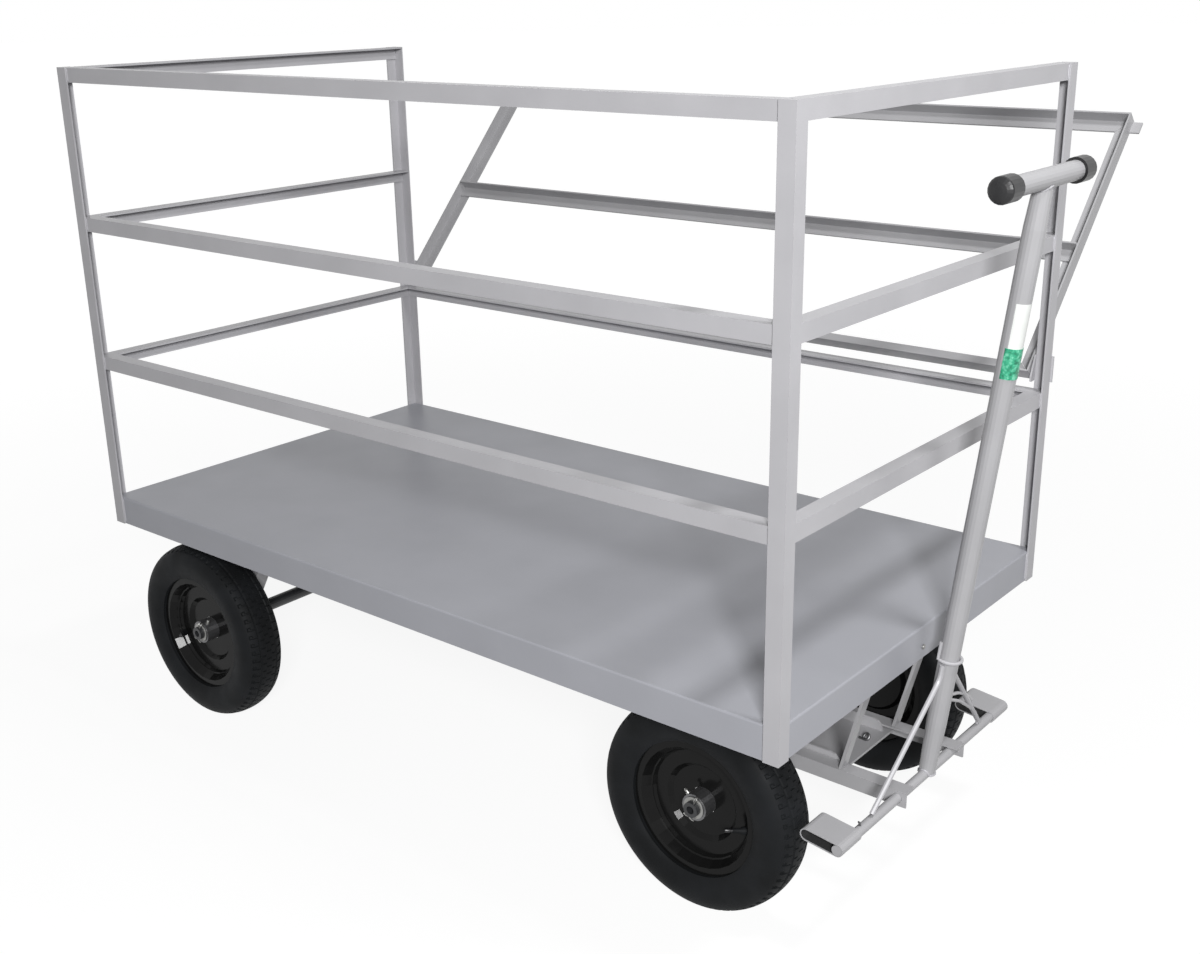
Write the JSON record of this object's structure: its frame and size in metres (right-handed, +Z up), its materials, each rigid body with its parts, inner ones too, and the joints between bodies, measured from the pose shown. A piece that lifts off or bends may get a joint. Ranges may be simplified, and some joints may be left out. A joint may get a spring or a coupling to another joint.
{
  "type": "platform hand cart",
  "caption": "Grey steel platform hand cart with railed sides, a drop gate folded outward, pneumatic tyres, a turntable front axle and an upright drawbar.",
  "frame": {"origin": "on the floor, midway along and across the whole cart as parked with the gate open", "axes": "+X towards the drawbar end, +Y towards the gate side, +Z up"},
  "size_m": [1.6598, 1.1522, 1.22],
  "materials": {
    "grey_paint": "semi-gloss",
    "deck_paint": "semi-gloss",
    "black_paint": "gloss",
    "bright_steel": "satin",
    "tyre_rubber": "matte",
    "cap_plastic": "satin"
  },
  "bodies": {
    "chassis": {"deck": "deck_paint", "post_rear_near": "grey_paint", "post_front_near": "grey_paint", "post_rear_far": "grey_paint", "post_front_far": "grey_paint", "rail_near_low": "grey_paint", "rail_near_mid": "grey_paint", "rail_near_top": "grey_paint", "rail_front_low": "grey_paint", "rail_front_mid": "grey_paint", "rail_front_top": "grey_paint", "rail_rear_low": "grey_paint", "rail_rear_mid": "grey_paint", "rail_rear_top": "grey_paint", "rail_far_low": "grey_paint", "bearer_rear_back": "grey_paint", "bearer_rear_front": "grey_paint", "bearer_middle": "grey_paint", "bearer_ring_back": "grey_paint", "bearer_ring_front": "grey_paint", "rear_leg_near": "grey_paint", "rear_leg_far": "grey_paint", "rear_axle": "black_paint", "turntable_upper": "grey_paint", "hinge_ear_rear": "grey_paint", "hinge_ear_front": "grey_paint"},
    "front_steer": {"turntable_lower": "grey_paint", "front_axle": "black_paint", "axle_saddle": "grey_paint", "tow_arm_near": "grey_paint", "tow_arm_far": "grey_paint", "strut_near": "grey_paint", "strut_far": "grey_paint"},
    "drawbar": {"crossbar": "grey_paint", "drawbar_tube": "grey_paint", "grip": "grey_paint", "grip_cap_near": "cap_plastic", "grip_cap_far": "cap_plastic", "brake_shoe_near": "grey_paint", "brake_shoe_far": "grey_paint", "drawbar_brace_near": "grey_paint", "drawbar_brace_far": "grey_paint", "retaining_hook": "grey_paint"},
    "gate": {"gate_top": "grey_paint", "gate_middle": "grey_paint", "gate_bottom": "grey_paint", "gate_side_front": "grey_paint", "gate_side_rear": "grey_paint"},
    "wheel_rear_near": {"tyre_rear_near": "tyre_rubber", "rim_rear_near": "black_paint", "hub_rear_near": "bright_steel"},
    "wheel_rear_far": {"tyre_rear_far": "tyre_rubber", "rim_rear_far": "black_paint", "hub_rear_far": "bright_steel"},
    "wheel_front_near": {"tyre_front_near": "tyre_rubber", "rim_front_near": "black_paint", "hub_front_near": "bright_steel"},
    "wheel_front_far": {"tyre_front_far": "tyre_rubber", "rim_front_far": "black_paint", "hub_front_far": "bright_steel"}
  },
  "joints": [
    {"name": "steering", "type": "hinge", "parent": "chassis", "child": "front_steer", "pos_m": [0.46602, -0.17605, 0.384], "axis": [0, 0, 1], "range_deg": [-22, 22]},
    {"name": "drawbar_hinge", "type": "hinge", "parent": "front_steer", "child": "drawbar", "pos_m": [0.70302, -0.17605, 0.187], "axis": [0, 1, 0], "range_deg": [0, 88]},
    {"name": "gate_hinge", "type": "hinge", "parent": "chassis", "child": "gate", "pos_m": [-0.07148, 0.22395, 0.7328], "axis": [1, 0, 0], "range_deg": [0, 42.7]},
    {"name": "spin_rear_near", "type": "hinge", "parent": "chassis", "child": "wheel_rear_near", "pos_m": [-0.64698, -0.51025, 0.1725], "axis": [0, 1, 0], "continuous": true},
    {"name": "spin_rear_far", "type": "hinge", "parent": "chassis", "child": "wheel_rear_far", "pos_m": [-0.64698, 0.15815, 0.1725], "axis": [0, 1, 0], "continuous": true},
    {"name": "spin_front_near", "type": "hinge", "parent": "front_steer", "child": "wheel_front_near", "pos_m": [0.46602, -0.43285, 0.1725], "axis": [0, 1, 0], "continuous": true},
    {"name": "spin_front_far", "type": "hinge", "parent": "front_steer", "child": "wheel_front_far", "pos_m": [0.46602, 0.08075, 0.1725], "axis": [0, 1, 0], "continuous": true}
  ]
}
